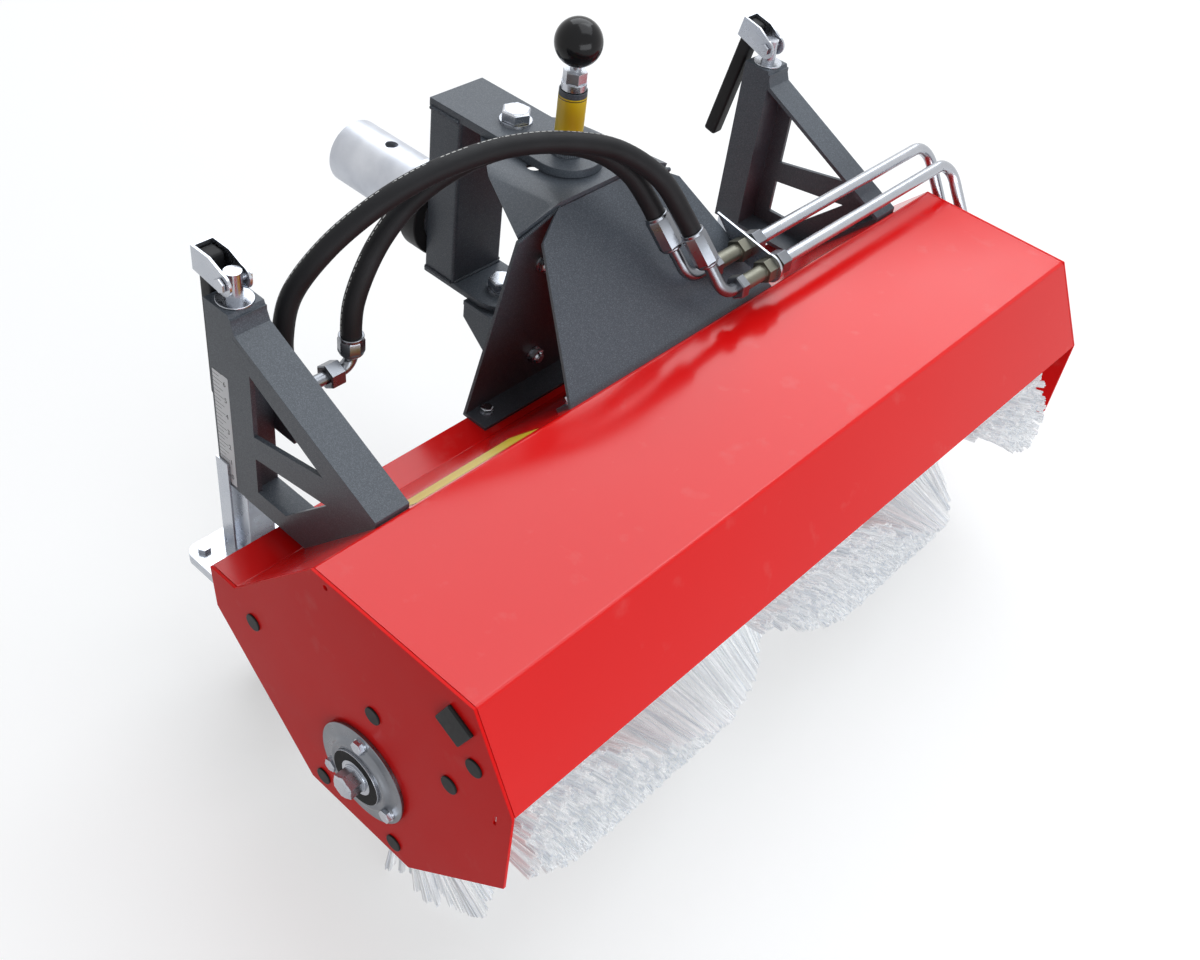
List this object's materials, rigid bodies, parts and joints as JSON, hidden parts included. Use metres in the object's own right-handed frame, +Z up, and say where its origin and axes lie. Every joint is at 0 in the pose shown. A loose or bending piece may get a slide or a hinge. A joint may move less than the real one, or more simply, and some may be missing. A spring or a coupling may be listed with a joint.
{
  "type": "power brush sweeper",
  "caption": "Front-mounted power brush: folded hood over a driven cylindrical brush, swivelling coupling frame with a spigot, and crank-adjusted caster legs.",
  "frame": {"origin": "middle of the footprint box on the ground", "axes": "+X across the machine towards the motor, -Y ahead, +Z up"},
  "size_m": [1.139, 0.8009, 0.7033],
  "materials": {
    "red_powder": "gloss powder coat",
    "grey_powder": "fine-texture powder coat",
    "bright_zinc": "bright zinc plate",
    "passivated_zinc": "yellowish passivated zinc plate",
    "bearing_steel": "ground steel",
    "motor_paint": "black paint on castings",
    "core_steel": "painted steel tube",
    "black_plastic": "moulded, satin",
    "knob_plastic": "polished phenolic",
    "hose_rubber": "smooth cover",
    "bristle_plastic": "extruded filament",
    "wheel_rubber": "moulded tread"
  },
  "bodies": {
    "head": {"hood_shell": "red_powder", "end_plate_left": "red_powder", "end_plate_right": "red_powder", "parking_plate": "grey_powder", "tower_front_panel": "grey_powder", "tower_rear_plate": "grey_powder", "sector_plate": "grey_powder", "lower_pivot_bracket": "grey_powder", "bracket_left": "grey_powder", "bracket_right": "grey_powder", "bearing_flanges": "bright_zinc", "flange_bolts": "bright_zinc", "motor_bolts": "bright_zinc", "tower_bolts": "bright_zinc", "pipe_a": "bright_zinc", "pipe_b": "bright_zinc", "bulkhead_plate": "bright_zinc", "hose_elbows": "bright_zinc", "hose_ends": "bright_zinc", "spindle_left": "bright_zinc", "spindle_right": "bright_zinc", "spindle_washers": "bright_zinc", "handle_pins": "bright_zinc", "bulkhead_fittings": "passivated_zinc", "motor_fittings": "passivated_zinc", "bearing_outer_ring": "bearing_steel", "bearing_balls": "bearing_steel", "motor_body": "motor_paint", "hole_plugs": "black_plastic", "tube_caps": "black_plastic", "hose_a": "hose_rubber", "hose_b": "hose_rubber"},
    "brush": {"brush_core": "core_steel", "bristles": "bristle_plastic", "bearing_inner_ring": "bearing_steel", "motor_shaft": "bearing_steel"},
    "frame": {"frame_top_plate": "grey_powder", "frame_post": "grey_powder", "frame_bottom_plate": "grey_powder", "pivot_bolts": "bright_zinc", "spigot": "bright_zinc", "spigot_ring": "black_plastic", "lock_housing": "black_plastic", "lock_spring": "bright_zinc"},
    "lock": {"lock_pin": "bright_zinc", "ball_knob": "knob_plastic"},
    "leg_left": {"leg_left": "bright_zinc", "caster_plate_left": "bright_zinc"},
    "leg_right": {"leg_right": "bright_zinc", "caster_plate_right": "bright_zinc"},
    "caster_left": {"caster_fork_left": "bright_zinc", "axle_left": "bright_zinc"},
    "caster_right": {"caster_fork_right": "bright_zinc", "axle_right": "bright_zinc"},
    "wheel_left": {"wheel_left": "wheel_rubber"},
    "wheel_right": {"wheel_right": "wheel_rubber"},
    "handle_left": {"crank_strap_left": "bright_zinc", "grip_left": "black_plastic"},
    "handle_right": {"crank_strap_right": "bright_zinc", "grip_right": "black_plastic"}
  },
  "joints": [
    {"name": "brush_spin", "type": "hinge", "parent": "head", "child": "brush", "pos_m": [-0.0405, -0.2055, 0.195], "axis": [1, 0, 0], "continuous": true},
    {"name": "swivel", "type": "hinge", "parent": "head", "child": "frame", "pos_m": [-0.0405, 0.1325, 0.546], "axis": [0, 0, 1], "range_deg": [-30, 30]},
    {"name": "lock_slide", "type": "slide", "parent": "frame", "child": "lock", "axis": [0, 0, 1], "range_m": [-0.022, 0], "deforming": ["lock_spring"]},
    {"name": "leg_left_slide", "type": "slide", "parent": "head", "child": "leg_left", "axis": [0, 0, 1], "range_m": [-0.04, 0.04]},
    {"name": "caster_left_swivel", "type": "hinge", "parent": "leg_left", "child": "caster_left", "pos_m": [-0.4455, 0.0845, 0.17], "axis": [0, 0, 1], "continuous": true},
    {"name": "wheel_left_spin", "type": "hinge", "parent": "caster_left", "child": "wheel_left", "pos_m": [-0.4455, 0.0495, 0.0625], "axis": [1, 0, 0], "continuous": true},
    {"name": "handle_left_fold", "type": "hinge", "parent": "head", "child": "handle_left", "pos_m": [-0.4455, 0.0845, 0.551], "axis": [1, 0, 0], "range_deg": [0, 180]},
    {"name": "leg_right_slide", "type": "slide", "parent": "head", "child": "leg_right", "axis": [0, 0, 1], "range_m": [-0.04, 0.04]},
    {"name": "caster_right_swivel", "type": "hinge", "parent": "leg_right", "child": "caster_right", "pos_m": [0.3645, 0.0845, 0.17], "axis": [0, 0, 1], "continuous": true},
    {"name": "wheel_right_spin", "type": "hinge", "parent": "caster_right", "child": "wheel_right", "pos_m": [0.3645, 0.0495, 0.0625], "axis": [1, 0, 0], "continuous": true},
    {"name": "handle_right_fold", "type": "hinge", "parent": "head", "child": "handle_right", "pos_m": [0.3645, 0.0845, 0.551], "axis": [1, 0, 0], "range_deg": [-12, 168]}
  ]
}
